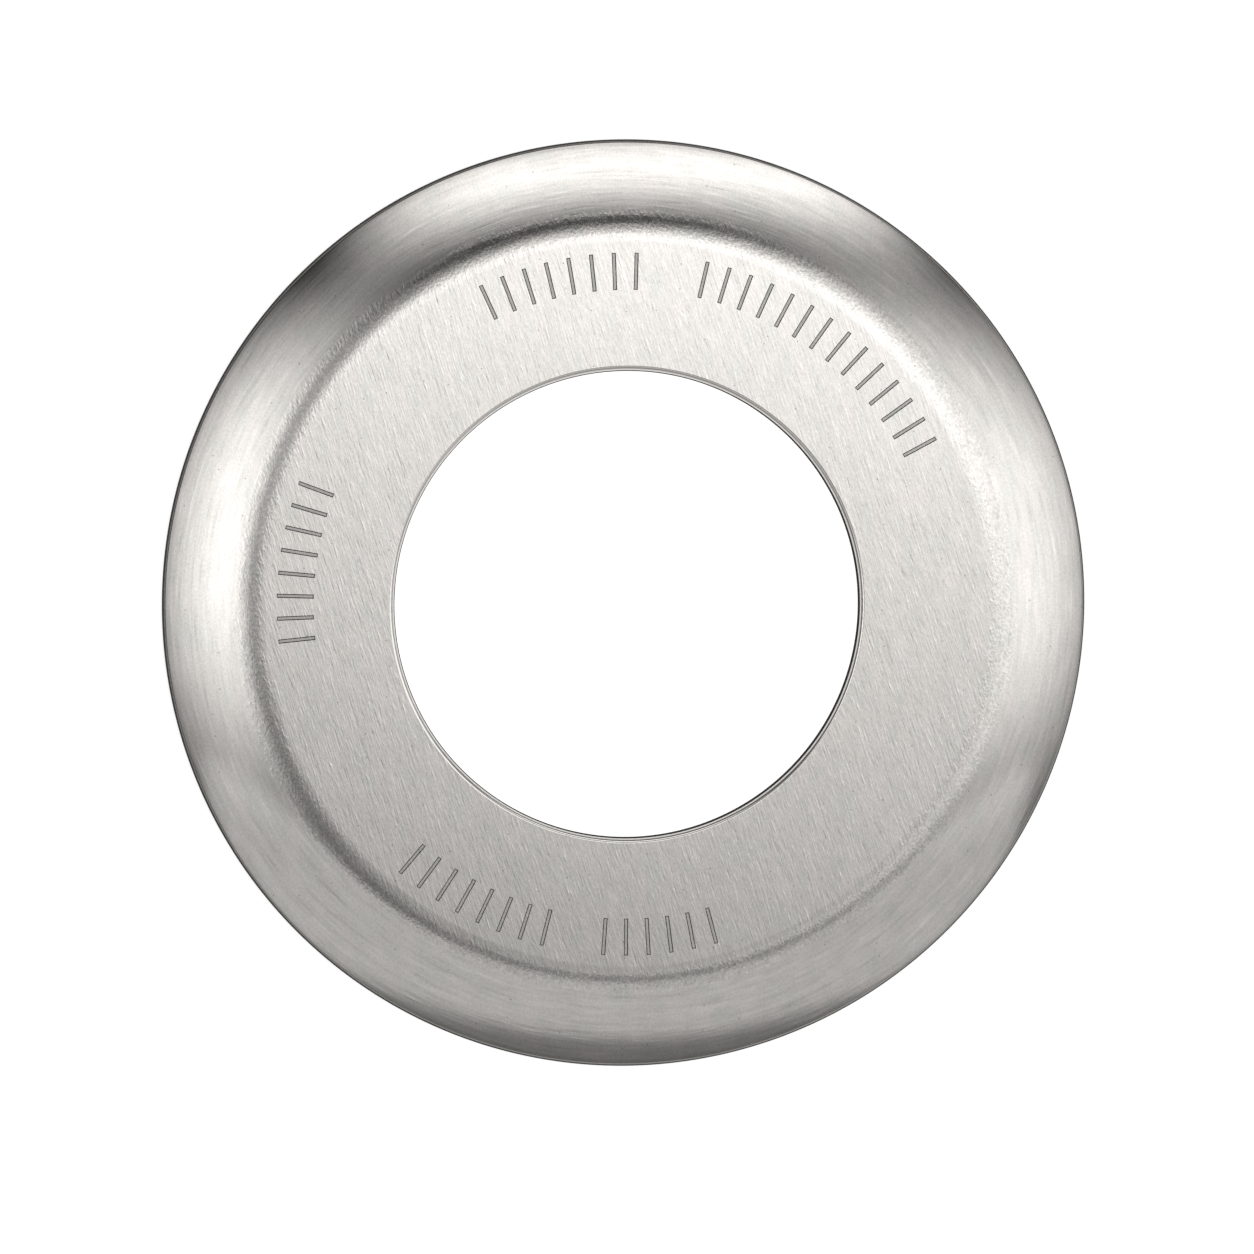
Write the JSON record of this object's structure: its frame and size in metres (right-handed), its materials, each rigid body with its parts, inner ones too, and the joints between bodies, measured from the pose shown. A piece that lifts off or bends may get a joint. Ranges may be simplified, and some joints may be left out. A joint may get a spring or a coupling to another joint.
{
  "type": "bearing sealing ring",
  "caption": "Pressed sheet-steel ring with a flat web around a shaft bore and a shallow domed flange; it covers the gap between a bearing's rings and keeps grease in.",
  "frame": {"origin": "on the ring's axis, in the plane that the land under the rim stands on", "axes": "+Z along the ring's axis, from the rim's land towards the flat web's front face; the ring is round, so X and Y are free"},
  "size_m": [0.08, 0.08, 0.0026],
  "materials": {
    "brushed_steel": "flat web brushed in straight lines, flange brushed around the axis, bright and dry"
  },
  "bodies": {
    "root": {"sealing_ring": "brushed_steel"}
  },
  "joints": []
}
